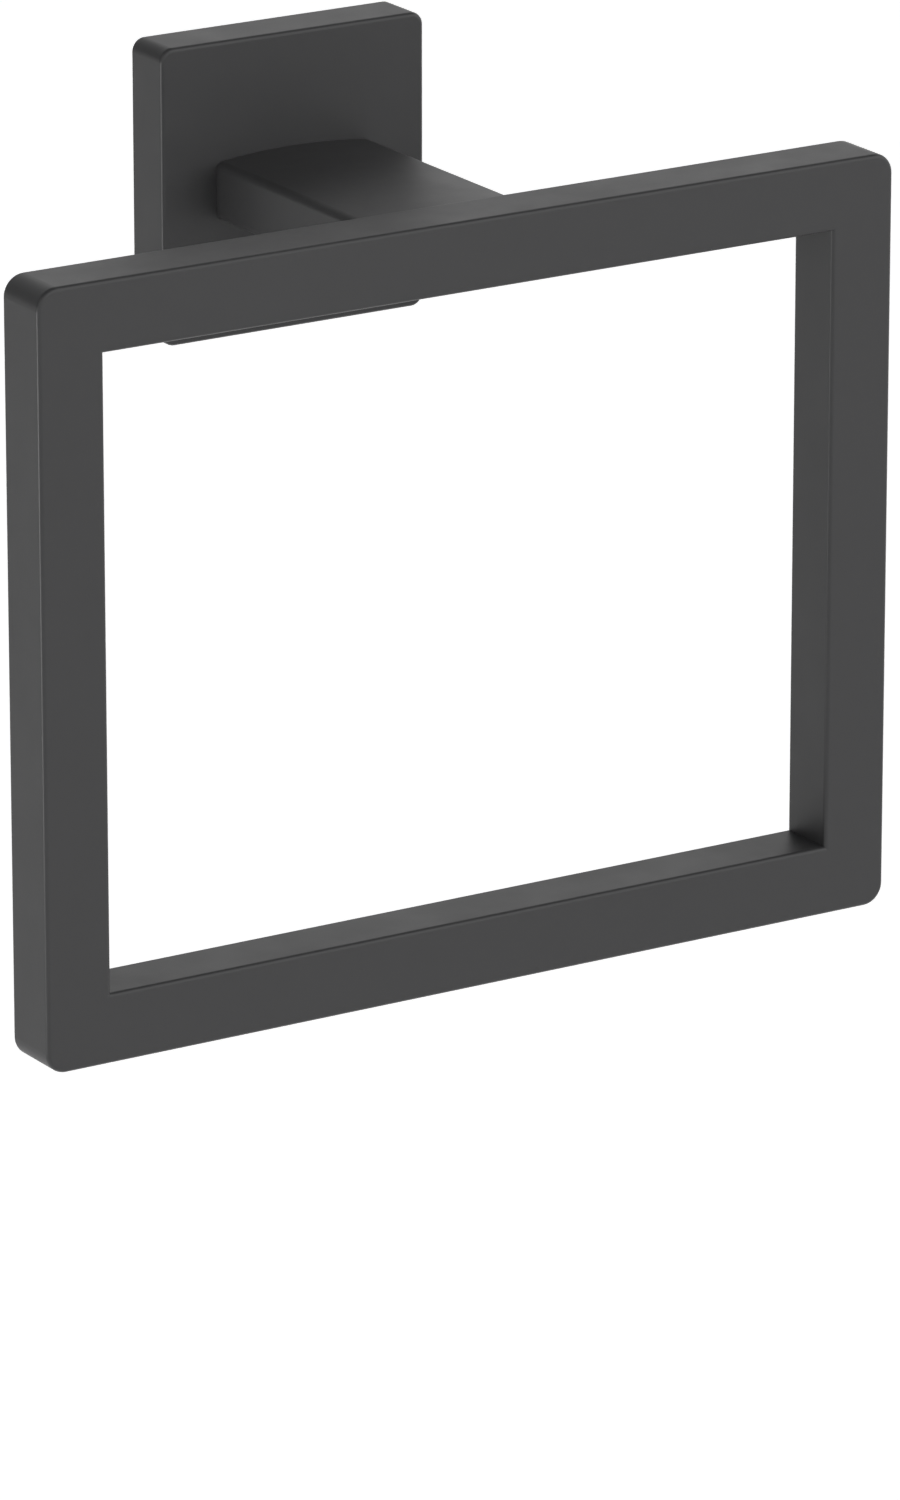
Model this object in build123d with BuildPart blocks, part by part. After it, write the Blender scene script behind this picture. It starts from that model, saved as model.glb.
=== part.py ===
from build123d import *
import os
from math import cos, radians, sin, tan

# Square towel ring on a hidden wall bracket, in millimetres.
# The wall is the plane y = 0 and the ring stands out from it along -Y, with +Z up.
# The origin is the middle of the wall plate's back, between the two wall screws.
# A depth is a distance out from the wall, so y = -depth.

# Towel loop: a closed rectangle of near square bar
loop_width = 180.0
loop_height = 145.0
bar_face = 13.25  # bar seen from the front
bar_depth = 12.5  # bar from front to back
loop_corner_radius = 4.0
loop_edge_radius = 0.8

# Post: cast in one with the loop, arched on top and underneath
post_length = 50.3  # from the plate's face to the loop's back
post_width = 33.0
post_crown = 1.1  # rise of the arch over the post's width
post_inset = 0.12  # crest of the arch below the top of the bar
post_edge_radius = 1.5
post_flare_radius = 1.5  # hollow where the post's sides run into the loop
flare_sink = 0.1  # end of the hollow inside the loop's back
post_end_in_bar = 5.0  # length of post that is buried in the bar

# Tenon on the post's root, which stops it from turning in the plate
tenon_width = 22.0
tenon_height = 9.0
tenon_length = 1.6
tenon_corner_radius = 1.0
tenon_side_clearance = 0.1
tenon_end_clearance = 0.2

# Wall plate: a hollow square casting
plate_size = 56.0
plate_thickness = 10.4
plate_corner_radius = 2.5
plate_edge_radius = 0.8
plate_wall = 3.0
plate_face = 3.4
cavity_corner_radius = 1.5
boss_root = 1.0  # depth to which a rib or boss runs into the wall that carries it

# Post screw: M6 button head with a split washer
screw_diameter = 6.0
screw_length = 16.0
screw_end_chamfer = 0.6
head_diameter = 10.5
head_height = 3.3
head_rim = 0.5  # straight band below the dome
head_crown_diameter = 6.4  # flat round the socket
head_dome_rise = 0.45  # bulge of the dome over its chord
socket_width = 4.0
socket_depth = 2.1
head_setback = 0.9  # from the wall to the head
screw_boss_diameter = 15.0
screw_hole_clearance = 0.3
thread_clearance = 0.05
tapped_run_out = 3.0  # tapped hole beyond the screw's end
drill_point_angle = 118.0
washer_outer_diameter = 11.8
washer_inner_diameter = 6.4
washer_thickness = 1.6
washer_slit = 0.7
washer_slit_slant = 0.5

# Wall bracket: pressed sheet with two tongues bent forward
sheet = 1.6
bracket_width = 36.0
bracket_height = 30.0  # between the lines where the tongues' backs meet the wall
bracket_corner_radius = 3.0
bracket_window_diameter = 16.0  # clears the head of the post screw
wall_hole_pitch = 25.0
wall_hole_diameter = 4.8
tongue_width = 20.0
tongue_angle = 45.0
tongue_corner_radius = 2.0
tongue_front_gap = 0.7  # tongue's end to the front of the cavity
bend_radius = 1.0  # inside of the bend

# Hook ledge in the plate, which hangs on the upper tongue
hook_width = 16.0
hook_back = 0.4  # depth of the ledge's back
hook_thickness = 4.0
hook_clearance = 0.1

# Grub screw in the plate's lower edge, which wedges against the lower tongue
grub_diameter = 5.0
grub_recess = 0.58  # socket end inside the plate's lower edge, which takes a screw 8 mm long
grub_depth = 3.6  # depth of its axis
grub_tip_diameter = 1.5
grub_end_chamfer = 0.5
grub_socket_width = 2.5
grub_socket_depth = 3.0
grub_point_clearance = 0.05
grub_boss_width = 10.0
grub_boss_height = 2.8
grub_boss_back = 0.6  # depth of the boss's back
grub_boss_corner_radius = 1.5
grub_mouth_chamfer = 0.4

# Places that follow from these sizes
plate_front = plate_thickness
loop_back = plate_front + post_length
loop_centre_z = (bar_face - loop_height) / 2
window_width = loop_width - 2 * bar_face
window_height = loop_height - 2 * bar_face
tenon_end = plate_front - tenon_length
pocket_floor = tenon_end - tenon_end_clearance
cavity_size = plate_size - 2 * plate_wall
cavity_depth = plate_thickness - plate_face
head_seat = head_setback + head_height
washer_seat = head_seat + washer_thickness
screw_end = head_seat + screw_length
post_half_height = bar_face / 2 - post_inset
crown_radius = (post_width**2 / 4 + post_crown**2) / (2 * post_crown)
flared_width = post_width + 4 * post_flare_radius
tongue_tilt = radians(tongue_angle)

# Views that the profiles are drawn in: on the wall, and from the side with depth across and height up
wall = Plane.XZ
side = Plane(origin=(0, 0, 0), x_dir=(0, -1, 0), z_dir=(-1, 0, 0))

# Wall bracket: middle line of the bent sheet, with depth first and height second
fold_height = bracket_height / 2 - sheet / 2 * tan(tongue_tilt / 2)
fold_radius = bend_radius + sheet / 2
flat_height = 2 * (fold_height - fold_radius * tan(tongue_tilt / 2))
tongue_reach = cavity_depth - tongue_front_gap - sheet / 2 * (1 + cos(tongue_tilt))
tip_depth = sheet / 2 + tongue_reach
tip_height = fold_height + tongue_reach / tan(tongue_tilt)


def tongue_back_height(depth, clearance):
    """Height of a line at this clearance behind the upper tongue's back."""
    return bracket_height / 2 + depth / tan(tongue_tilt) + clearance / sin(tongue_tilt)


# Grub screw: its point is a cone that lies along the lower tongue's back
grub_radius = grub_diameter / 2
grub_tip_radius = grub_tip_diameter / 2
grub_cone_start = -tongue_back_height(grub_depth + grub_radius, grub_point_clearance)
grub_tip = grub_cone_start + (grub_radius - grub_tip_radius) / tan(tongue_tilt)
grub_end = grub_recess - plate_size / 2
grub_boss_top = grub_boss_height - cavity_size / 2

# Post: a lens section along its length, trimmed to the plan of the post and its hollows
with BuildPart() as post:
    with BuildSketch(wall.offset(plate_front)):
        with Locations((0, post_half_height - crown_radius)):
            Circle(crown_radius)
        with Locations((0, crown_radius - post_half_height)):
            Circle(crown_radius, mode=Mode.INTERSECT)
    extrude(amount=post_length + post_end_in_bar)
    with BuildSketch(Plane.XY) as plan:
        with Locations((0, -plate_front)):
            Rectangle(post_width, post_length + flare_sink, align=(Align.CENTER, Align.MAX))
        with Locations((0, -loop_back - flare_sink)):
            Rectangle(
                flared_width,
                post_end_in_bar - flare_sink,
                align=(Align.CENTER, Align.MAX),
            )
        corners = plan.vertices().filter_by_position(
            Axis.Y, -loop_back - 2 * flare_sink, -loop_back
        )
        fillet(corners.sort_by(lambda v: abs(v.X))[:2], post_flare_radius)
    extrude(amount=post_half_height, both=True, mode=Mode.INTERSECT)
    fillet(post.edges().filter_by(Axis.Y).group_by(SortBy.LENGTH)[-1], post_edge_radius)

# Towel loop and post in one casting
with BuildPart() as towel_loop:
    with BuildSketch(wall.offset(loop_back)):
        with Locations((0, loop_centre_z)):
            RectangleRounded(loop_width, loop_height, loop_corner_radius)
            Rectangle(window_width, window_height, mode=Mode.SUBTRACT)
    extrude(amount=bar_depth)
    rims = towel_loop.faces().filter_by(Axis.Y).edges()
    fillet(rims, loop_edge_radius)
    add(post.part)
    with BuildSketch(wall.offset(plate_front)):
        RectangleRounded(tenon_width, tenon_height, tenon_corner_radius)
    extrude(amount=-tenon_length)
    with BuildSketch(side):
        tapped_radius = screw_diameter / 2 + thread_clearance
        tapped_end = screw_end + tapped_run_out
        drill_point = tapped_radius / tan(radians(drill_point_angle / 2))
        with BuildLine():
            Polyline(
                (tenon_end, 0),
                (tenon_end, tapped_radius),
                (tapped_end, tapped_radius),
                (tapped_end + drill_point, 0),
                close=True,
            )
        make_face()
    revolve(axis=Axis.Y, mode=Mode.SUBTRACT)

# Wall plate with its hook ledge, screw boss and grub screw boss
with BuildPart() as wall_plate:
    with BuildSketch(wall):
        RectangleRounded(plate_size, plate_size, plate_corner_radius)
    extrude(amount=plate_thickness)
    fillet(wall_plate.faces().sort_by(Axis.Y)[0].edges(), plate_edge_radius)
    with BuildSketch(wall):
        RectangleRounded(cavity_size, cavity_size, cavity_corner_radius)
        Circle(screw_boss_diameter / 2, mode=Mode.SUBTRACT)
    extrude(amount=cavity_depth, mode=Mode.SUBTRACT)
    with BuildSketch(wall):
        Circle(screw_boss_diameter / 2)
    extrude(amount=washer_seat, mode=Mode.SUBTRACT)
    with BuildSketch(side):
        hook_front = hook_back + hook_thickness
        hook_top = cavity_size / 2 + boss_root
        with BuildLine():
            Polyline(
                (hook_back, hook_top),
                (hook_front, hook_top),
                (hook_front, tongue_back_height(hook_front, hook_clearance)),
                (hook_back, tongue_back_height(hook_back, hook_clearance)),
                close=True,
            )
        make_face()
    extrude(amount=hook_width / 2, both=True)
    with BuildSketch(wall.offset(grub_boss_back)) as boss:
        with Locations((0, grub_boss_top)):
            Rectangle(
                grub_boss_width,
                grub_boss_height + boss_root,
                align=(Align.CENTER, Align.MAX),
            )
        fillet(boss.vertices().group_by(Axis.Y)[-1], grub_boss_corner_radius)
    extrude(amount=cavity_depth + boss_root - grub_boss_back)
    with BuildSketch(wall.offset(plate_front)):
        RectangleRounded(
            tenon_width + 2 * tenon_side_clearance,
            tenon_height + 2 * tenon_side_clearance,
            tenon_corner_radius + tenon_side_clearance,
        )
    extrude(amount=pocket_floor - plate_front, mode=Mode.SUBTRACT)
    with BuildSketch(wall):
        Circle(screw_diameter / 2 + screw_hole_clearance)
    extrude(amount=plate_thickness, mode=Mode.SUBTRACT)
    with BuildSketch(Plane.XY.offset(-plate_size / 2)):
        with Locations((0, -grub_depth)):
            Circle(grub_radius + thread_clearance)
    extrude(amount=plate_wall + grub_boss_height, mode=Mode.SUBTRACT)
    mouth = wall_plate.edges().filter_by(GeomType.CIRCLE).group_by(Axis.Z)[0]
    chamfer(mouth, grub_mouth_chamfer)

# Post screw, from inside the plate into the post
with BuildPart() as post_screw:
    with BuildSketch(side):
        with BuildLine():
            head_start = (head_setback, head_crown_diameter / 2)
            head_edge = (head_seat - head_rim, head_diameter / 2)
            Line((head_setback, 0), head_start)
            SagittaArc(head_start, head_edge, head_dome_rise)
            Polyline(
                head_edge,
                (head_seat, head_diameter / 2),
                (head_seat, screw_diameter / 2),
                (screw_end - screw_end_chamfer, screw_diameter / 2),
                (screw_end, screw_diameter / 2 - screw_end_chamfer),
                (screw_end, 0),
                (head_setback, 0),
            )
        make_face()
    revolve(axis=Axis.Y)
    with BuildSketch(wall.offset(head_setback)):
        RegularPolygon(socket_width / 2, 6, major_radius=False)
    extrude(amount=socket_depth, mode=Mode.SUBTRACT)

# Split washer under the screw's head
with BuildPart() as lock_washer:
    with BuildSketch(wall.offset(head_seat)):
        Circle(washer_outer_diameter / 2)
        Circle(washer_inner_diameter / 2, mode=Mode.SUBTRACT)
    extrude(amount=washer_thickness)
    with BuildSketch(Plane.XY):
        with BuildLine():
            Polyline(
                (-washer_slit / 2 - washer_slit_slant, -head_seat),
                (washer_slit / 2 - washer_slit_slant, -head_seat),
                (washer_slit / 2 + washer_slit_slant, -washer_seat),
                (-washer_slit / 2 + washer_slit_slant, -washer_seat),
                close=True,
            )
        make_face()
    extrude(amount=washer_outer_diameter, mode=Mode.SUBTRACT)

# Wall bracket
with BuildPart() as wall_bracket:
    with BuildSketch(side):
        with BuildLine():
            FilletPolyline(
                (tip_depth, -tip_height),
                (sheet / 2, -fold_height),
                (sheet / 2, fold_height),
                (tip_depth, tip_height),
                radius=fold_radius,
            )
        trace(line_width=sheet)
    extrude(amount=tongue_width / 2, both=True)
    tongue_ends = wall_bracket.faces().sort_by(Axis.Z)
    tongue_corners = (tongue_ends[0].edges() + tongue_ends[-1].edges()).filter_by(
        Axis.X, reverse=True
    )
    fillet(tongue_corners, tongue_corner_radius)
    with BuildSketch(wall):
        RectangleRounded(bracket_width, flat_height, bracket_corner_radius)
    extrude(amount=sheet)
    with BuildSketch(wall):
        Circle(bracket_window_diameter / 2)
        with GridLocations(wall_hole_pitch, 0, 2, 1):
            Circle(wall_hole_diameter / 2)
    extrude(amount=sheet, mode=Mode.SUBTRACT)

# Grub screw with a hexagon socket and a cone point
with BuildPart() as grub_screw:
    with BuildSketch(side):
        with BuildLine():
            Polyline(
                (grub_depth, grub_end),
                (grub_depth + grub_radius - grub_end_chamfer, grub_end),
                (grub_depth + grub_radius, grub_end + grub_end_chamfer),
                (grub_depth + grub_radius, grub_cone_start),
                (grub_depth + grub_tip_radius, grub_tip),
                (grub_depth, grub_tip),
                close=True,
            )
        make_face()
    revolve(axis=Axis((0, -grub_depth, 0), (0, 0, 1)))
    with BuildSketch(Plane.XY.offset(grub_end)):
        with Locations((0, -grub_depth)):
            RegularPolygon(grub_socket_width / 2, 6, major_radius=False)
    extrude(amount=grub_socket_depth, mode=Mode.SUBTRACT)

# One STEP file for each piece
pieces = {
    "towel_loop": towel_loop,
    "wall_plate": wall_plate,
    "post_screw": post_screw,
    "lock_washer": lock_washer,
    "wall_bracket": wall_bracket,
    "grub_screw": grub_screw,
}
os.makedirs("parts", exist_ok=True)
for name, piece in pieces.items():
    piece.part.label = name
    export_step(piece.part, f"parts/{name}.step")
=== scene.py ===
from math import cos, radians, sin, tan, tau

import bmesh
import bpy
from bpy.props import FloatProperty, FloatVectorProperty, IntProperty, PointerProperty
from bpy.types import NodeSocket, Operator, Panel, PropertyGroup
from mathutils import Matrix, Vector


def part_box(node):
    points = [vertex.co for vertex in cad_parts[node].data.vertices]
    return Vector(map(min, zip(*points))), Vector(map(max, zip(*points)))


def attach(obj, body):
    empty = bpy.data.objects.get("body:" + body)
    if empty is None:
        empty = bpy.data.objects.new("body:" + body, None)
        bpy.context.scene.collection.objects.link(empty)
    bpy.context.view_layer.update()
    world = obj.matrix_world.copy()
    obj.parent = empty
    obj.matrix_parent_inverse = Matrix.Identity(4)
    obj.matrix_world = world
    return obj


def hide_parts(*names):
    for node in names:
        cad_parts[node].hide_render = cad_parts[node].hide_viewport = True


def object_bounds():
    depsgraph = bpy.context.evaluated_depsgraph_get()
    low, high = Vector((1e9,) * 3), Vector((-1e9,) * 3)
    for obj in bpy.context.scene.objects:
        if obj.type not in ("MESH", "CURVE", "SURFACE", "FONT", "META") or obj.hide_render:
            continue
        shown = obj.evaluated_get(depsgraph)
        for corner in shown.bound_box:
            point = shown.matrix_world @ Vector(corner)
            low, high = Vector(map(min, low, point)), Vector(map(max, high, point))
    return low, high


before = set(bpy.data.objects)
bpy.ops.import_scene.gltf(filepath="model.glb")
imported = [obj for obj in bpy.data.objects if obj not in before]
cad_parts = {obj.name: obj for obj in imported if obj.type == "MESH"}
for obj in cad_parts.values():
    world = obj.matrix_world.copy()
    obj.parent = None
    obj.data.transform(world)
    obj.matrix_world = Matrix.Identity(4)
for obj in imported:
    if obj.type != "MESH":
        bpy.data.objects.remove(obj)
cad_low, cad_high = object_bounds()
plate_low, plate_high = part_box("wall_plate")
screw_low, screw_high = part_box("post_screw")
grub_low, grub_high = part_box("grub_screw")

bl_info = {
    "name": "Square towel ring",
    "version": (1, 0, 0),
    "blender": (4, 5, 0),
    "location": "3D View > Sidebar > Towel Ring",
    "description": "Coats the castings of a square towel ring, makes its screws and sets its stage",
    "category": "Object",
}

MM = 0.001
NOISE_LOW, NOISE_HIGH = 0.3, 0.7  # most values of a noise texture lie between these
THREAD_DEPTH_PER_PITCH = 0.6134  # metric thread on a screw
SHARP_ANGLE = radians(32.0)  # edges of the screws that bend more than this stay crisp
WHITE = (1.0, 1.0, 1.0, 1.0)
BLACK = (0.0, 0.0, 0.0, 1.0)


class CoatSettings(PropertyGroup):
    """The matte black coat on the two castings"""

    colour: FloatVectorProperty(
        name="Coat colour",
        description="Colour of the black coat",
        subtype="COLOR",
        default=(0.036, 0.036, 0.037),
        min=0.0,
        max=1.0,
    )
    roughness: FloatProperty(
        name="Roughness",
        description="Mean roughness of the coat",
        default=0.48,
        min=0.0,
        max=1.0,
    )
    edge_roughness: FloatProperty(
        name="Edge roughness",
        description="Roughness of the coat where its front and back edges are rubbed",
        default=0.32,
        min=0.0,
        max=1.0,
    )
    rub_size: FloatProperty(
        name="Rub size",
        description="Length of the patches in which the edges are rubbed",
        unit="LENGTH",
        default=20.0 * MM,
    )
    specular: FloatProperty(
        name="Specular level",
        description="Strength of the coat's reflection, where 0.5 is that of clear lacquer",
        default=0.35,
        min=0.0,
        max=1.0,
    )
    grain_size: FloatProperty(
        name="Grain size",
        description="Width of the coat's fine grains",
        unit="LENGTH",
        default=0.28 * MM,
    )
    peel_size: FloatProperty(
        name="Peel size",
        description="Width of the slow waves that the coat cured with",
        unit="LENGTH",
        default=2.6 * MM,
    )
    peel_share: FloatProperty(
        name="Peel share",
        description="Height of the slow waves, as a share of the grain's",
        subtype="FACTOR",
        default=0.5,
        min=0.0,
        max=1.0,
    )
    mottle_size: FloatProperty(
        name="Mottle size",
        description="Width of the slow changes of the coat's colour and roughness",
        unit="LENGTH",
        default=13.0 * MM,
    )
    colour_spread: FloatProperty(
        name="Colour spread",
        description="Share by which the mottle makes the colour lighter and darker",
        subtype="FACTOR",
        default=0.08,
    )
    roughness_spread: FloatProperty(
        name="Roughness spread",
        description="Amount by which the mottle makes the coat rougher and smoother",
        default=0.03,
    )
    relief: FloatProperty(
        name="Relief",
        description="Height of the grain",
        unit="LENGTH",
        default=0.012 * MM,
    )
    zinc_colour: FloatVectorProperty(
        name="Zinc colour",
        description="Colour of the bare casting where the coat is thin inside the plate",
        subtype="COLOR",
        default=(0.30, 0.30, 0.31),
        min=0.0,
        max=1.0,
    )
    bare_share: FloatProperty(
        name="Bare share",
        description="Share of the zinc colour where the coat is thinnest",
        subtype="FACTOR",
        default=0.55,
        min=0.0,
        max=1.0,
    )
    plate_wall: FloatProperty(
        name="Plate wall",
        description="Wall of the plate round its cavity",
        unit="LENGTH",
        default=3.0 * MM,
    )
    plate_face: FloatProperty(
        name="Plate face",
        description="Thickness of the plate in front of its cavity",
        unit="LENGTH",
        default=3.4 * MM,
    )


class SteelSettings(PropertyGroup):
    """The plated and the blackened steel"""

    plating_colour: FloatVectorProperty(
        name="Plating colour",
        description="Colour of the zinc plating",
        subtype="COLOR",
        default=(0.62, 0.62, 0.60),
        min=0.0,
        max=1.0,
    )
    oxide_colour: FloatVectorProperty(
        name="Oxide colour",
        description="Colour of the black oxide on the grub screw",
        subtype="COLOR",
        default=(0.045, 0.045, 0.047),
        min=0.0,
        max=1.0,
    )
    worn_colour: FloatVectorProperty(
        name="Worn colour",
        description="Colour of the oxide where the thread's crests are rubbed",
        subtype="COLOR",
        default=(0.17, 0.17, 0.17),
        min=0.0,
        max=1.0,
    )
    roughness: FloatProperty(
        name="Roughness",
        description="Mean roughness of the plating",
        default=0.34,
        min=0.0,
        max=1.0,
    )
    roughness_spread: FloatProperty(
        name="Roughness spread",
        description="Amount by which streaks and rubbing change the roughness",
        default=0.06,
    )
    root_roughness: FloatProperty(
        name="Root roughness",
        description="Roughness that the roots of a thread have more than the plating",
        default=0.1,
    )
    wear_size: FloatProperty(
        name="Wear size",
        description="Length of the patches in which a thread is rubbed",
        unit="LENGTH",
        default=1.2 * MM,
    )
    # Painted shade: the plating is drawn darker in the roots of the post screw's thread, while its lighter
    # crests are rubbed wear.
    painted_root_shade: FloatProperty(
        name="Painted root shade",
        description="Brightness of the plating in the roots of a thread, as a share of its colour",
        subtype="FACTOR",
        default=0.8,
    )
    streak_dark: FloatProperty(
        name="Streak dark",
        description="Brightness of the plating in its darkest streaks, as a share of its colour",
        subtype="FACTOR",
        default=0.88,
    )
    streak_light: FloatProperty(
        name="Streak light",
        description="Brightness of the plating in its lightest streaks and on rubbed crests",
        default=1.08,
    )
    cut_roughness: FloatProperty(
        name="Cut roughness",
        description="Roughness that the sheet's cut edges have more than its faces",
        default=0.14,
    )
    cut_shade: FloatProperty(
        name="Cut shade",
        description="Brightness of the sheet's cut edges, as a share of the plating's colour",
        subtype="FACTOR",
        default=0.7,
    )
    mark_length: FloatProperty(
        name="Roll mark length",
        description="Length of the sheet's rolling marks",
        unit="LENGTH",
        default=6.0 * MM,
    )
    mark_width: FloatProperty(
        name="Roll mark width",
        description="Width of the sheet's rolling marks",
        unit="LENGTH",
        default=0.12 * MM,
    )
    mark_relief: FloatProperty(
        name="Roll mark relief",
        description="Depth of the sheet's rolling marks",
        unit="LENGTH",
        default=0.006 * MM,
    )


class ScrewSettings(PropertyGroup):
    """The threaded screws"""

    post_diameter: FloatProperty(
        name="Post screw",
        description="Thread diameter of the post screw",
        unit="LENGTH",
        default=6.0 * MM,
    )
    post_pitch: FloatProperty(
        name="Post screw pitch",
        description="Thread pitch of the post screw",
        unit="LENGTH",
        default=1.0 * MM,
    )
    head_height: FloatProperty(
        name="Head height",
        description="Height of the post screw's button head",
        unit="LENGTH",
        default=3.3 * MM,
    )
    head_rim: FloatProperty(
        name="Head rim",
        description="Straight band below the head's dome",
        unit="LENGTH",
        default=0.5 * MM,
    )
    head_crown: FloatProperty(
        name="Head crown",
        description="Diameter of the flat round the head's socket",
        unit="LENGTH",
        default=6.4 * MM,
    )
    head_dome_rise: FloatProperty(
        name="Dome rise",
        description="Bulge of the head's dome over its chord",
        unit="LENGTH",
        default=0.45 * MM,
    )
    post_socket: FloatProperty(
        name="Post screw socket",
        description="Width across flats of the post screw's socket",
        unit="LENGTH",
        default=4.0 * MM,
    )
    post_socket_depth: FloatProperty(
        name="Post screw socket depth",
        description="Depth of the post screw's socket",
        unit="LENGTH",
        default=2.1 * MM,
    )
    grub_pitch: FloatProperty(
        name="Grub screw pitch",
        description="Thread pitch of the grub screw",
        unit="LENGTH",
        default=0.8 * MM,
    )
    grub_socket: FloatProperty(
        name="Grub screw socket",
        description="Width across flats of the grub screw's socket",
        unit="LENGTH",
        default=2.5 * MM,
    )
    grub_socket_depth: FloatProperty(
        name="Grub screw socket depth",
        description="Depth of the grub screw's socket",
        unit="LENGTH",
        default=3.0 * MM,
    )
    grub_tip: FloatProperty(
        name="Grub screw tip",
        description="Diameter of the flat on the grub screw's cone point",
        unit="LENGTH",
        default=1.5 * MM,
    )
    grub_cone: FloatProperty(
        name="Grub screw cone",
        description="Half angle of the grub screw's cone point",
        subtype="ANGLE",
        default=radians(45.0),
    )
    end_chamfer: FloatProperty(
        name="End chamfer",
        description="Chamfer on a screw's threaded end",
        unit="LENGTH",
        default=0.55 * MM,
    )
    segments: IntProperty(
        name="Segments",
        description="Points round a screw, a multiple of 12 for the socket's corners",
        default=48,
        min=12,
    )
    rows_per_turn: IntProperty(
        name="Rows per turn",
        description="Rows of points along one turn of thread",
        default=14,
        min=4,
    )


class StageSettings(PropertyGroup):
    """The camera, the lights, the net and the floor"""

    azimuth: FloatProperty(
        name="Azimuth",
        description="Turn of the camera round the object, to the left of the front",
        subtype="ANGLE",
        default=radians(32.032),
    )
    elevation: FloatProperty(
        name="Elevation",
        description="Height of the camera above the horizon",
        subtype="ANGLE",
        default=radians(18.119),
    )
    distance: FloatProperty(
        name="Distance",
        description="From the camera to the point that it looks at",
        unit="LENGTH",
        default=1.79,
    )
    aim: FloatVectorProperty(
        name="Aim",
        description="Point that the camera looks at",
        subtype="XYZ",
        unit="LENGTH",
        default=(0.00658, -0.05377, -0.09927),
    )
    lens: FloatProperty(
        name="Lens",
        description="Focal length for a sensor 36 mm along the picture's long side",
        unit="CAMERA",
        default=234.32,
    )
    floor_drop: FloatProperty(
        name="Floor drop",
        description="From the lowest point of the loop down to the floor",
        unit="LENGTH",
        default=0.35,
    )
    floor_size: FloatProperty(
        name="Floor size",
        description="Side of the floor",
        unit="LENGTH",
        default=8.0,
    )
    floor_colour: FloatVectorProperty(
        name="Floor colour",
        description="Colour of the pale floor",
        subtype="COLOR",
        default=(0.93, 0.93, 0.93),
        min=0.0,
        max=1.0,
    )
    floor_roughness: FloatProperty(
        name="Floor roughness",
        description="Roughness of the pale floor",
        default=0.9,
        min=0.0,
        max=1.0,
    )
    floor_lift: FloatProperty(
        name="Floor lift",
        description="Added to the floor, for the eye and for reflections, to make it as white as the sky",
        default=0.5,
        min=0.0,
    )
    overhead: FloatProperty(
        name="Overhead",
        description="Strength of the sky overhead, where the horizon is 1",
        default=0.08,
        min=0.0,
        max=1.0,
    )
    net_direction: FloatVectorProperty(
        name="Net direction",
        description="Level way from the object to the dark net behind on the left",
        subtype="XYZ",
        default=(-0.8, 0.6, 0.0),
    )
    net_distance: FloatProperty(
        name="Net distance",
        description="From the object to the net, which stands beyond the floor",
        unit="LENGTH",
        default=6.0,
    )
    net_level: FloatProperty(
        name="Net level",
        description="Share of the light that the net lets through where it is closest",
        subtype="FACTOR",
        default=0.0,
        min=0.0,
        max=1.0,
    )
    net_spread: FloatProperty(
        name="Net spread",
        description="Angle from the closest part of the net to its edge, where it is clear",
        subtype="ANGLE",
        default=radians(64.0),
    )
    dim_from: FloatProperty(
        name="Dim from",
        description="Angle above the horizon at which the sky starts to get dimmer",
        subtype="ANGLE",
        default=radians(34.0),
    )
    dim_to: FloatProperty(
        name="Dim to",
        description="Angle above the horizon at which the sky is as dim as overhead",
        subtype="ANGLE",
        default=radians(52.0),
    )
    key_strength: FloatProperty(
        name="Key strength",
        description="Soft light from the front right",
        default=1.0,
        min=0.0,
    )
    key_spread: FloatProperty(
        name="Key spread",
        description="Angle that the soft light fills",
        subtype="ANGLE",
        default=radians(70.0),
    )
    key_direction: FloatVectorProperty(
        name="Key direction",
        description="Way that the soft light goes",
        subtype="XYZ",
        default=(-0.5, 0.75, -0.4),
    )
    strip_power: FloatProperty(
        name="Strip power",
        description="Light of the strip on the left, which the left edges reflect",
        unit="POWER",
        default=1.15,
        min=0.0,
    )
    strip_size: FloatVectorProperty(
        name="Strip size",
        description="Width and height of the strip",
        size=2,
        unit="LENGTH",
        default=(0.18, 0.16),
    )
    strip_place: FloatVectorProperty(
        name="Strip place",
        description="Middle of the strip",
        subtype="XYZ",
        unit="LENGTH",
        default=(-0.7, -0.01, -0.2),
    )
    back_power: FloatProperty(
        name="Backlight power",
        description="Light of the panel behind, which the tops reflect",
        unit="POWER",
        default=0.56,
        min=0.0,
    )
    back_size: FloatVectorProperty(
        name="Backlight size",
        description="Width and height of the panel behind",
        size=2,
        unit="LENGTH",
        default=(1.2, 0.9),
    )
    back_place: FloatVectorProperty(
        name="Backlight place",
        description="Middle of the panel behind",
        subtype="XYZ",
        unit="LENGTH",
        default=(0.9, 1.4, 0.5),
    )


class TowelRingSettings(PropertyGroup):
    """All the settings of the towel ring"""

    coat: PointerProperty(type=CoatSettings)
    steel: PointerProperty(type=SteelSettings)
    screws: PointerProperty(type=ScrewSettings)
    stage: PointerProperty(type=StageSettings)


def feed(tree, slot, value):
    """Joins a socket to an input, or sets the input to a number, a vector or a colour."""
    if isinstance(value, NodeSocket):
        tree.links.new(value, slot)
    else:
        slot.default_value = value


def math_node(tree, operation, *values):
    """A Math node whose inputs are sockets or numbers; returns its output."""
    node = tree.nodes.new("ShaderNodeMath")
    node.operation = operation
    for slot, value in zip(node.inputs, values):
        feed(tree, slot, value)
    return node.outputs["Value"]


def vector_node(tree, operation, *values):
    """A Vector Math node whose inputs are sockets or vectors; returns its outputs."""
    node = tree.nodes.new("ShaderNodeVectorMath")
    node.operation = operation
    for slot, value in zip(node.inputs, values):
        feed(tree, slot, value)
    return node.outputs


def mix_colour(tree, factor, first, second):
    """A colour Mix node; returns its output. Its sockets share names, so the colour ones go by number."""
    node = tree.nodes.new("ShaderNodeMix")
    node.data_type = "RGBA"
    for number, value in ((0, factor), (6, first), (7, second)):
        feed(tree, node.inputs[number], value)
    return node.outputs[2]


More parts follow.
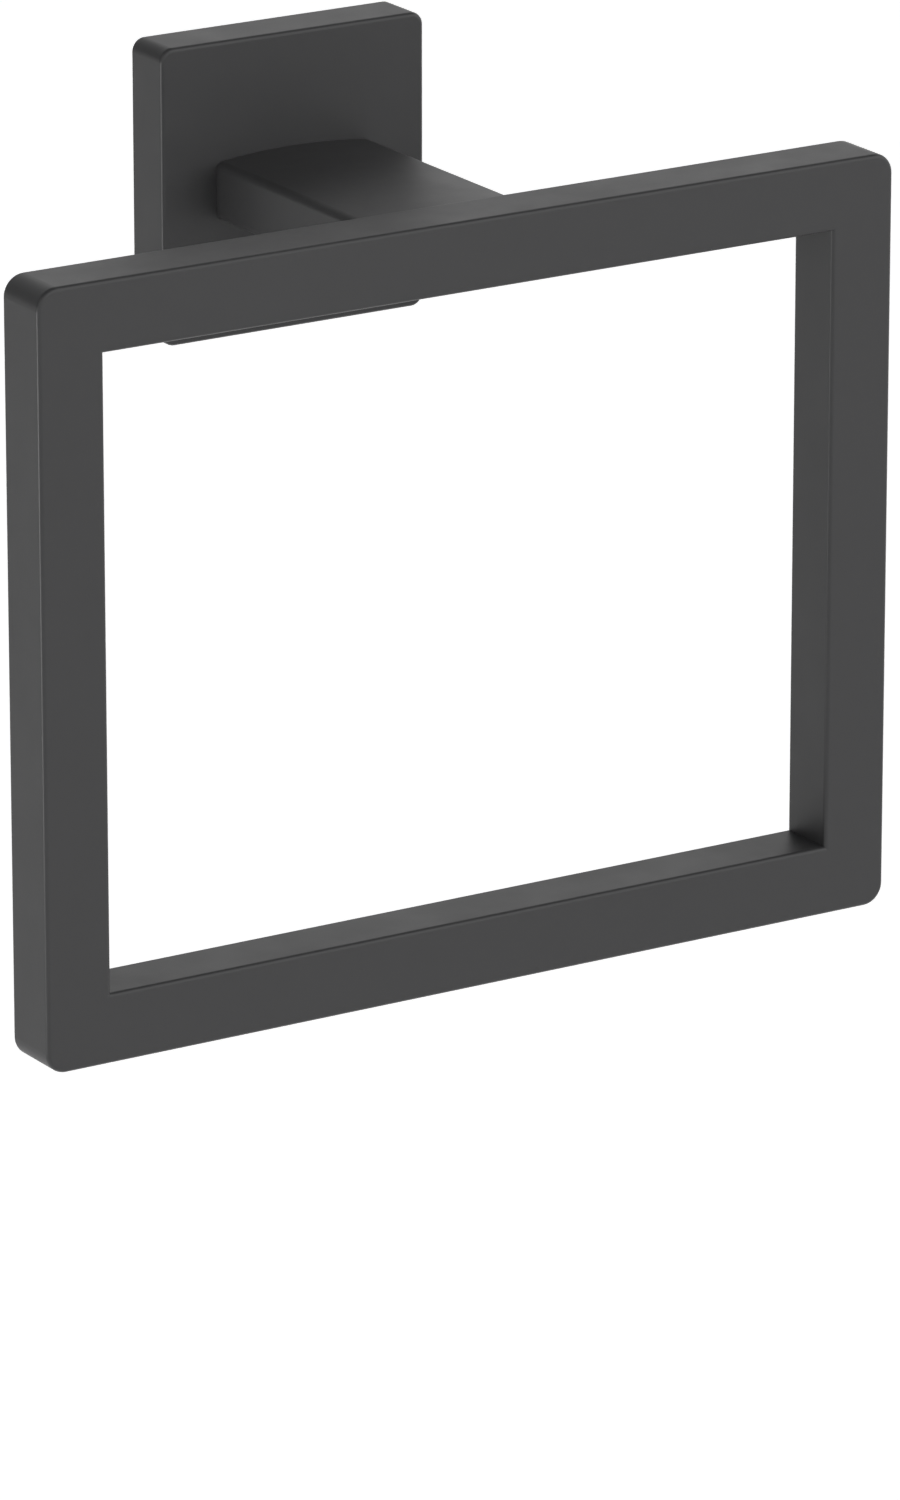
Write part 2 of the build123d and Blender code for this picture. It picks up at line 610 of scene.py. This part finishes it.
def ramp(tree, value, low, high, at_low, at_high):
    """Maps a value from low and high onto at_low and at_high, and clamps it."""
    node = tree.nodes.new("ShaderNodeMapRange")
    names = ("Value", "From Min", "From Max", "To Min", "To Max")
    for name, number in zip(names, (value, low, high, at_low, at_high)):
        feed(tree, node.inputs[name], number)
    return node.outputs["Result"]


def spread(tree, value, at_low, at_high):
    """Maps a noise value over its usual range onto at_low and at_high."""
    return ramp(tree, value, NOISE_LOW, NOISE_HIGH, at_low, at_high)


def noise(tree, position, scale, detail, roughness=0.5):
    """A noise texture at a position; scale is a socket or a number. Returns its value."""
    node = tree.nodes.new("ShaderNodeTexNoise")
    names = ("Vector", "Scale", "Detail", "Roughness")
    for name, value in zip(names, (position, scale, detail, roughness)):
        feed(tree, node.inputs[name], value)
    return node.outputs[0]


def object_position(tree):
    """The place of a surface point in the piece's own frame."""
    return tree.nodes.new("ShaderNodeTexCoord").outputs["Object"]


def components(tree, vector):
    """The X, Y and Z outputs of a vector socket."""
    node = tree.nodes.new("ShaderNodeSeparateXYZ")
    tree.links.new(vector, node.inputs["Vector"])
    return node.outputs["X"], node.outputs["Y"], node.outputs["Z"]


def new_group(name, inputs, outputs):
    """A shader node group with named number sockets; returns it, what it is given and what it makes."""
    group = bpy.data.node_groups.new(name, "ShaderNodeTree")
    for socket in inputs:
        group.interface.new_socket(socket, in_out="INPUT", socket_type="NodeSocketFloat")
    for socket in outputs:
        group.interface.new_socket(socket, in_out="OUTPUT", socket_type="NodeSocketFloat")
    given = group.nodes.new("NodeGroupInput").outputs
    made = group.nodes.new("NodeGroupOutput").inputs
    return group, given, made


def place_group(tree, group, values):
    """A group node with its inputs fed by name; returns its outputs."""
    node = tree.nodes.new("ShaderNodeGroup")
    node.node_tree = group
    for name, value in values.items():
        feed(tree, node.inputs[name], value)
    return node.outputs


def coat_grain_group():
    """Grain of a cured coat: a height, and a slow mottle between 0 and 1."""
    group, given, made = new_group(
        "Coat grain",
        ("Grain size", "Peel size", "Peel share", "Mottle size"),
        ("Height", "Mottle"),
    )
    position = object_position(group)
    grain_scale = math_node(group, "DIVIDE", 1.0, given["Grain size"])
    peel_scale = math_node(group, "DIVIDE", 1.0, given["Peel size"])
    grain = noise(group, position, grain_scale, detail=2.0)
    peel = noise(group, position, peel_scale, detail=1.0)
    waves = math_node(group, "MULTIPLY", peel, given["Peel share"])
    group.links.new(math_node(group, "ADD", grain, waves), made["Height"])
    mottle_scale = math_node(group, "DIVIDE", 1.0, given["Mottle size"])
    mottle = noise(group, position, mottle_scale, detail=3.0, roughness=0.6)
    group.links.new(mottle, made["Mottle"])
    return group


def edge_rub_group():
    """Rubbing on the rounded edges of the front and the back: 0 on flat faces, up to 1 in patches."""
    group, given, made = new_group("Edge rub", ("Patch size",), ("Rub",))
    normal = group.nodes.new("ShaderNodeNewGeometry").outputs["Normal"]
    facing = math_node(group, "ABSOLUTE", components(group, normal)[1])
    side_end, edge_start = 0.1, 0.35
    edge_end, face_start = 0.85, 0.99
    off_side = ramp(group, facing, side_end, edge_start, 0.0, 1.0)
    off_face = ramp(group, facing, edge_end, face_start, 1.0, 0.0)
    edge = math_node(group, "MULTIPLY", off_side, off_face)
    patch_scale = math_node(group, "DIVIDE", 1.0, given["Patch size"])
    patches = noise(group, object_position(group), patch_scale, detail=3.0)
    patch_low, patch_high = 0.35, 0.65
    least_rub = 0.75
    share = ramp(group, patches, patch_low, patch_high, least_rub, 1.0)
    group.links.new(math_node(group, "MULTIPLY", edge, share), made["Rub"])
    return group


def roll_marks_group():
    """Fine marks along X, as on rolled sheet: a height and a slow streak between 0 and 1."""
    group, given, made = new_group("Roll marks", ("Length", "Width"), ("Height", "Streak"))
    across = math_node(group, "DIVIDE", 1.0, given["Width"])
    along = math_node(group, "DIVIDE", 1.0, given["Length"])
    scale = group.nodes.new("ShaderNodeCombineXYZ")
    for axis, value in (("X", along), ("Y", across), ("Z", across)):
        group.links.new(value, scale.inputs[axis])
    stretched = vector_node(group, "MULTIPLY", object_position(group), scale.outputs["Vector"])["Vector"]
    mark_scale, streak_scale = 1.0, 0.15
    group.links.new(noise(group, stretched, mark_scale, detail=2.0), made["Height"])
    group.links.new(noise(group, stretched, streak_scale, detail=2.0), made["Streak"])
    return group


def thread_wear_group():
    """Rubbing on a thread: 0 in its roots, up to 1 in patches on its crests. Built once for both screws."""
    name = "Thread wear"
    if name in bpy.data.node_groups:
        return bpy.data.node_groups[name]
    inputs = ("Radius", "Root radius", "Crest radius", "Patch size")
    group, given, made = new_group(name, inputs, ("Wear",))
    height = ramp(group, given["Radius"], given["Root radius"], given["Crest radius"], 0.0, 1.0)
    patch_scale = math_node(group, "DIVIDE", 1.0, given["Patch size"])
    patches = noise(group, object_position(group), patch_scale, detail=2.0)
    least_wear = 0.4
    share = spread(group, patches, least_wear, 1.0)
    crest_sharpness = 3.0
    crest = math_node(group, "POWER", height, crest_sharpness)
    group.links.new(math_node(group, "MULTIPLY", crest, share), made["Wear"])
    return group


def shade(colour, factor=1.0):
    """A colour made lighter or darker, with full alpha."""
    return tuple(channel * factor for channel in colour) + (1.0,)


def new_material(name):
    """A material with a Principled BSDF; returns the material, its tree and the shader's inputs."""
    material = bpy.data.materials.new(name)
    material.use_nodes = True
    tree = material.node_tree
    return material, tree, tree.nodes["Principled BSDF"].inputs


def bump(tree, shader, height, distance):
    """Joins a height to a shader's normal through a Bump node."""
    node = tree.nodes.new("ShaderNodeBump")
    node.inputs["Distance"].default_value = distance
    tree.links.new(height, node.inputs["Height"])
    tree.links.new(node.outputs["Normal"], shader["Normal"])


def inside_box(tree, low, high):
    """A mask that is 1 inside a box of the piece's own frame."""
    mask = None
    for place, least, most in zip(components(tree, object_position(tree)), low, high):
        within = math_node(tree, "COMPARE", place, (least + most) / 2, (most - least) / 2)
        mask = within if mask is None else math_node(tree, "MULTIPLY", mask, within)
    return mask


def coated_zinc(name, coat, grain, rub, cavity=None):
    """Matte black coat with a fine grain; inside a cavity, which is a box, it is thin in blotches."""
    material, tree, shader = new_material(name)
    sizes = {
        "Grain size": coat.grain_size,
        "Peel size": coat.peel_size,
        "Peel share": coat.peel_share,
        "Mottle size": coat.mottle_size,
    }
    texture = place_group(tree, grain, sizes)
    mottle = texture["Mottle"]
    darker = shade(coat.colour, 1.0 - coat.colour_spread)
    lighter = shade(coat.colour, 1.0 + coat.colour_spread)
    colour = mix_colour(tree, mottle, darker, lighter)
    if cavity:
        blotch_start, blotch_full = 0.42, 0.75
        thin = ramp(tree, mottle, blotch_start, blotch_full, 0.0, coat.bare_share)
        bare = math_node(tree, "MULTIPLY", inside_box(tree, *cavity), thin)
        colour = mix_colour(tree, bare, colour, shade(coat.zinc_colour))
    tree.links.new(colour, shader["Base Color"])
    smoothest = coat.roughness - coat.roughness_spread
    roughest = coat.roughness + coat.roughness_spread
    rough = spread(tree, mottle, smoothest, roughest)
    rubbed = place_group(tree, rub, {"Patch size": coat.rub_size})["Rub"]
    tree.links.new(ramp(tree, rubbed, 0.0, 1.0, rough, coat.edge_roughness), shader["Roughness"])
    shader["Specular IOR Level"].default_value = coat.specular
    bump(tree, shader, texture["Height"], coat.relief)
    return material


def plated_sheet(name, steel, marks):
    """Zinc plated steel with fine rolling marks, duller on its cut edges."""
    material, tree, shader = new_material(name)
    texture = place_group(tree, marks, {"Length": steel.mark_length, "Width": steel.mark_width})
    facing = components(tree, tree.nodes.new("ShaderNodeNewGeometry").outputs["Normal"])[1]
    cut_end, face_start = 0.1, 0.3
    cut = ramp(tree, math_node(tree, "ABSOLUTE", facing), cut_end, face_start, 1.0, 0.0)
    streak = texture["Streak"]
    darker = shade(steel.plating_colour, steel.streak_dark)
    lighter = shade(steel.plating_colour, steel.streak_light)
    bright = mix_colour(tree, streak, darker, lighter)
    dull = shade(steel.plating_colour, steel.cut_shade)
    tree.links.new(mix_colour(tree, cut, bright, dull), shader["Base Color"])
    smoothest = steel.roughness - steel.roughness_spread
    roughest = steel.roughness + steel.roughness_spread
    rolled = spread(tree, streak, smoothest, roughest)
    duller = math_node(tree, "MULTIPLY", cut, steel.cut_roughness)
    tree.links.new(math_node(tree, "ADD", rolled, duller), shader["Roughness"])
    shader["Metallic"].default_value = 1.0
    bump(tree, shader, texture["Height"], steel.mark_relief)
    return material


def threaded_steel(name, colours, steel, wear, radii, axis_point, across):
    """Steel rubbed on its thread: colours and radii of roots and crests; across is square to the axis. A
    root colour darker than the steel's own is painted shade in the roots.
    """
    material, tree, shader = new_material(name)
    from_axis = vector_node(tree, "SUBTRACT", object_position(tree), axis_point)["Vector"]
    square_on = vector_node(tree, "MULTIPLY", from_axis, across)["Vector"]
    radius = vector_node(tree, "LENGTH", square_on)["Value"]
    root, crest = radii
    given = {
        "Radius": radius,
        "Root radius": root,
        "Crest radius": crest,
        "Patch size": steel.wear_size,
    }
    rubbed = place_group(tree, wear, given)["Wear"]
    tree.links.new(mix_colour(tree, rubbed, *colours), shader["Base Color"])
    in_roots = steel.roughness + steel.root_roughness
    on_crests = steel.roughness - steel.roughness_spread
    tree.links.new(ramp(tree, rubbed, 0.0, 1.0, in_roots, on_crests), shader["Roughness"])
    shader["Metallic"].default_value = 1.0
    return material


def use_material(piece, material):
    """Gives a piece one material in place of all that it has."""
    piece.data.materials.clear()
    piece.data.materials.append(material)


def hexagon_radius(angle, width):
    """Distance from the centre to the side of a hexagon of this width across flats."""
    sixth = tau / 6
    return width / 2 / cos((angle + sixth / 2) % sixth - sixth / 2)


def thread_depth(pitch):
    """Depth of a metric thread on a screw."""
    return THREAD_DEPTH_PER_PITCH * pitch


def thread_dip(phase):
    """Share of the thread's depth cut away at a phase of 0 to 1: flat crest, flanks, flat root."""
    crest_flat = 0.12
    flank = 0.64
    from_crest = abs(2 * (phase % 1.0) - 1)
    return min(max((from_crest - crest_flat) / flank, 0.0), 1.0)


def screw_rings(profile, pitch, settings):
    """Rings of a screw from (axial, radius, threaded) points; a threaded point starts a run of thread."""
    count = settings.segments
    for here, after in zip(profile, profile[1:] + [None]):
        axial, radius, threaded = here
        rows = 1
        if threaded:
            rows = max(int((after[0] - axial) / pitch * settings.rows_per_turn), 1)
        for row in range(rows):
            run = axial
            cut = 0.0
            if threaded:
                run += (after[0] - axial) * row / rows
                from_end = min(run - axial, after[0] - run)
                run_out = pitch / 2
                cut = thread_depth(pitch) * min(from_end / run_out, 1.0)
            yield [
                (run, radius - cut * thread_dip(run / pitch - step / count), tau * step / count)
                for step in range(count)
            ]


def screw_mesh(name, profile, socket, pitch, settings, place_point):
    """A closed screw: hexagon socket (width, depth), outside profile with thread, flat end."""
    count = settings.segments
    width, depth = socket
    mouth = profile[0][0]
    angles = [tau * step / count for step in range(count)]
    rings = [
        [(mouth + depth, hexagon_radius(a, width), a) for a in angles],
        [(mouth, hexagon_radius(a, width), a) for a in angles],
    ]
    rings += list(screw_rings(profile, pitch, settings))
    mesh = bmesh.new()
    made = [[mesh.verts.new(place_point(*point)) for point in ring] for ring in rings]
    for one, two in zip(made, made[1:]):
        for step in range(count):
            other = (step + 1) % count
            mesh.faces.new((one[step], one[other], two[other], two[step]))
    drill_slope = radians(30.0)
    drill_tip = mouth + depth + width / 2 * tan(drill_slope)
    tips = ((made[0], drill_tip), (made[-1], profile[-1][0]))
    for ring, axial in tips:
        tip = mesh.verts.new(place_point(axial, 0.0, 0.0))
        for step in range(count):
            mesh.faces.new((ring[step], ring[(step + 1) % count], tip))
    bmesh.ops.recalc_face_normals(mesh, faces=mesh.faces)
    data = bpy.data.meshes.new(name)
    mesh.to_mesh(data)
    mesh.free()
    data.polygons.foreach_set("use_smooth", [True] * len(data.polygons))
    data.set_sharp_from_angle(angle=SHARP_ANGLE)
    piece = bpy.data.objects.new(name, data)
    bpy.context.scene.collection.objects.link(piece)
    return piece


class TOWELRING_OT_castings(Operator):
    """Coat the loop with its post and the wall plate"""

    bl_idname = "towelring.castings"
    bl_label = "Coat Castings"

    def execute(self, context):
        coat = context.scene.towel_ring.coat
        grain = coat_grain_group()
        rub = edge_rub_group()
        wall = Vector((coat.plate_wall, 0.0, coat.plate_wall))
        cavity = (plate_low + wall + Vector((0.0, coat.plate_face, 0.0)), plate_high - wall)
        use_material(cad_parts["towel_loop"], coated_zinc("loop_coat", coat, grain, rub))
        use_material(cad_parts["wall_plate"], coated_zinc("plate_coat", coat, grain, rub, cavity))
        return {"FINISHED"}


class TOWELRING_OT_pressings(Operator):
    """Plate the wall bracket and the lock washer"""

    bl_idname = "towelring.pressings"
    bl_label = "Plate Pressings"

    def execute(self, context):
        steel = context.scene.towel_ring.steel
        marks = roll_marks_group()
        for node in ("wall_bracket", "lock_washer"):
            use_material(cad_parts[node], plated_sheet(node + "_plating", steel, marks))
        return {"FINISHED"}


class TOWELRING_OT_post_screw(Operator):
    """Make the threaded post screw"""

    bl_idname = "towelring.post_screw"
    bl_label = "Make Post Screw"

    def execute(self, context):
        settings = context.scene.towel_ring.screws
        steel = context.scene.towel_ring.steel
        head_radius = (screw_high.x - screw_low.x) / 2
        crown_radius = settings.head_crown / 2
        seat = settings.head_height
        length = screw_high.y - screw_low.y
        shank = settings.post_diameter / 2
        rim = seat - settings.head_rim
        dome_steps = 8
        slope = Vector((rim, head_radius - crown_radius)).normalized()
        profile = []
        for step in range(dome_steps + 1):
            # The dome bulges over its chord as a parabola.
            share = step / dome_steps
            rise = settings.head_dome_rise * 4 * share * (1 - share)
            axial = rim * share - rise * slope.y
            radius = crown_radius + (head_radius - crown_radius) * share + rise * slope.x
            profile.append((axial, radius, False))
        profile += [
            (seat, head_radius, False),
            (seat, shank, False),
            (seat + settings.post_pitch, shank, True),
            (length - settings.end_chamfer, shank, False),
            (length, shank - settings.end_chamfer, False),
        ]

        def point(axial, radius, angle):
            """A point of the screw, which runs from its head along -Y."""
            return (radius * cos(angle), screw_high.y - axial, radius * sin(angle))

        socket = (settings.post_socket, settings.post_socket_depth)
        piece = screw_mesh("post_screw_threaded", profile, socket, settings.post_pitch, settings, point)
        # Painted shade in the thread's roots, darker than the plating; the lighter crests are rubbed wear.
        in_roots = shade(steel.plating_colour, steel.painted_root_shade)
        on_crests = shade(steel.plating_colour, steel.streak_light)
        colours = (in_roots, on_crests)
        radii = (shank - thread_depth(settings.post_pitch), shank)
        middle = (screw_low + screw_high) / 2
        across = (1.0, 0.0, 1.0)
        material = threaded_steel(
            "screw_plating", colours, steel, thread_wear_group(), radii, middle, across
        )
        use_material(piece, material)
        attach(piece, "root")
        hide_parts("post_screw")
        return {"FINISHED"}


class TOWELRING_OT_grub_screw(Operator):
    """Make the threaded grub screw"""

    bl_idname = "towelring.grub_screw"
    bl_label = "Make Grub Screw"

    def execute(self, context):
        settings = context.scene.towel_ring.screws
        steel = context.scene.towel_ring.steel
        middle = (grub_low + grub_high) / 2
        radius = (grub_high.x - grub_low.x) / 2
        length = grub_high.z - grub_low.z
        tip = settings.grub_tip / 2
        cone = length - (radius - tip) / tan(settings.grub_cone)
        profile = [
            (0.0, radius - settings.end_chamfer, False),
            (settings.end_chamfer, radius, True),
            (cone, radius, False),
            (length, tip, False),
        ]

        def point(axial, out, angle):
            """A point of the screw, which runs up from its socket end."""
            return (middle.x + out * cos(angle), middle.y + out * sin(angle), grub_low.z + axial)

        socket = (settings.grub_socket, settings.grub_socket_depth)
        piece = screw_mesh("grub_screw_threaded", profile, socket, settings.grub_pitch, settings, point)
        colours = (shade(steel.oxide_colour), shade(steel.worn_colour))
        radii = (radius - thread_depth(settings.grub_pitch), radius)
        across = (1.0, 1.0, 0.0)
        material = threaded_steel(
            "grub_oxide", colours, steel, thread_wear_group(), radii, middle, across
        )
        use_material(piece, material)
        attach(piece, "root")
        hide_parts("grub_screw")
        return {"FINISHED"}


def seen_mask(tree):
    """A mask that is 1 for the eye, for reflections and for what is seen through glass."""
    path = tree.nodes.new("ShaderNodeLightPath").outputs
    seen = math_node(tree, "MAXIMUM", path["Is Camera Ray"], path["Is Glossy Ray"])
    return math_node(tree, "MAXIMUM", seen, path["Is Transmission Ray"])


def flat_sheet(scene, name, corners, material):
    """A sheet between four corners; returns it."""
    data = bpy.data.meshes.new(name)
    data.from_pydata(corners, [], [(0, 1, 2, 3)])
    sheet = bpy.data.objects.new(name, data)
    scene.collection.objects.link(sheet)
    use_material(sheet, material)
    return sheet


class TOWELRING_OT_stage(Operator):
    """Set up the sky, the floor, the net, the lights and the camera"""

    bl_idname = "towelring.stage"
    bl_label = "Set Stage"

    def execute(self, context):
        scene = context.scene
        stage = scene.towel_ring.stage
        scene.view_settings.view_transform = "Standard"
        scene.world = self.white_sky(stage)
        self.lay_floor(scene, stage)
        self.hang_net(scene, stage)
        self.hang_key_light(scene, stage)
        self.stand_light(scene, "strip", stage.strip_place, stage.strip_size, stage.strip_power, stage.aim)
        self.stand_light(scene, "backlight", stage.back_place, stage.back_size, stage.back_power, stage.aim)
        self.set_camera(scene, stage)
        return {"FINISHED"}

    def white_sky(self, stage):
        """A sky that is white round the horizon and dimmer overhead."""
        world = bpy.data.worlds.new("studio")
        world.use_nodes = True
        tree = world.node_tree
        direction = tree.nodes.new("ShaderNodeTexCoord").outputs["Generated"]
        height = components(tree, direction)[2]
        white = ramp(tree, height, sin(stage.dim_from), sin(stage.dim_to), 1.0, stage.overhead)
        light = tree.nodes["Background"].inputs
        light["Color"].default_value = WHITE
        tree.links.new(white, light["Strength"])
        return world

    def floor_height(self, stage):
        """Height of the floor below the object."""
        return cad_low.z - stage.floor_drop

    def lay_floor(self, scene, stage):
        """A square of pale paper below the object."""
        material, tree, shader = new_material("floor_paper")
        shader["Base Color"].default_value = shade(stage.floor_colour)
        shader["Roughness"].default_value = stage.floor_roughness
        shader["Emission Color"].default_value = WHITE
        lift = math_node(tree, "MULTIPLY", seen_mask(tree), stage.floor_lift)
        tree.links.new(lift, shader["Emission Strength"])
        half = stage.floor_size / 2
        height = self.floor_height(stage)
        corners = [(x * half, y * half, height) for x, y in ((-1, -1), (1, -1), (1, 1), (-1, 1))]
        floor = flat_sheet(scene, "floor", corners, material)

    def hang_net(self, scene, stage):
        """A dark net that dims the sky behind on the left. The camera doesn't see it."""
        aim = Vector(stage.aim)
        way = Vector(stage.net_direction).normalized()
        material, tree, shader = new_material("net_cloth")
        shader["Base Color"].default_value = BLACK
        shader["Specular IOR Level"].default_value = 0.0
        from_aim = vector_node(tree, "SUBTRACT", object_position(tree), aim)["Vector"]
        direction = vector_node(tree, "NORMALIZE", from_aim)["Vector"]
        near = vector_node(tree, "DOT_PRODUCT", direction, way)["Value"]
        dense = ramp(tree, near, cos(stage.net_spread), 1.0, 0.0, 1.0 - stage.net_level)
        tree.links.new(dense, shader["Alpha"])
        foot = aim + way * stage.net_distance
        foot.z = self.floor_height(stage)
        reach = stage.net_distance * tan(stage.net_spread)
        up = Vector((0.0, 0.0, reach))
        aside = way.cross(up)
        corners = (foot - aside, foot + aside, foot + aside + up, foot - aside + up)
        net = flat_sheet(scene, "net", corners, material)
        net.visible_camera = False

    def hang_key_light(self, scene, stage):
        """A wide soft light from far away."""
        data = bpy.data.lights.new("key", "SUN")
        data.energy = stage.key_strength
        data.angle = stage.key_spread
        key = bpy.data.objects.new("key", data)
        key.rotation_euler = Vector(stage.key_direction).to_track_quat("-Z", "Y").to_euler()
        scene.collection.objects.link(key)

    def stand_light(self, scene, name, place, size, power, aim):
        """A flat light that is turned to the object and that the camera doesn't see."""
        data = bpy.data.lights.new(name, "AREA")
        data.shape = "RECTANGLE"
        data.size, data.size_y = size
        data.energy = power
        light = bpy.data.objects.new(name, data)
        light.location = place
        light.rotation_euler = (Vector(aim) - Vector(place)).to_track_quat("-Z", "Y").to_euler()
        light.visible_camera = False
        scene.collection.objects.link(light)

    def set_camera(self, scene, stage):
        """A long lens that looks at the object from the front left and a little from above."""
        data = bpy.data.cameras.new("camera")
        data.lens = stage.lens
        camera = bpy.data.objects.new("camera", data)
        back = Vector((
            -sin(stage.azimuth) * cos(stage.elevation),
            -cos(stage.azimuth) * cos(stage.elevation),
            sin(stage.elevation),
        ))
        camera.location = Vector(stage.aim) + back * stage.distance
        camera.rotation_euler = (-back).to_track_quat("-Z", "Y").to_euler()
        scene.collection.objects.link(camera)
        scene.camera = camera


class TOWELRING_PT_panel(Panel):
    """Lists the steps of the towel ring"""

    bl_idname = "TOWELRING_PT_panel"
    bl_label = "Towel Ring"
    bl_space_type = "VIEW_3D"
    bl_region_type = "UI"
    bl_category = "Towel Ring"

    def draw(self, context):
        for step in STEPS:
            self.layout.operator(step.bl_idname)


STEPS = (
    TOWELRING_OT_castings,
    TOWELRING_OT_pressings,
    TOWELRING_OT_post_screw,
    TOWELRING_OT_grub_screw,
    TOWELRING_OT_stage,
)
CLASSES = (
    CoatSettings,
    SteelSettings,
    ScrewSettings,
    StageSettings,
    TowelRingSettings,
    *STEPS,
    TOWELRING_PT_panel,
)


def register():
    for cls in CLASSES:
        bpy.utils.register_class(cls)
    bpy.types.Scene.towel_ring = PointerProperty(type=TowelRingSettings)


def unregister():
    del bpy.types.Scene.towel_ring
    for cls in reversed(CLASSES):
        bpy.utils.unregister_class(cls)


def main():
    register()
    bpy.ops.towelring.castings()
    bpy.ops.towelring.pressings()
    bpy.ops.towelring.post_screw()
    bpy.ops.towelring.grub_screw()
    bpy.ops.towelring.stage()


if __name__ == "__main__":
    main()
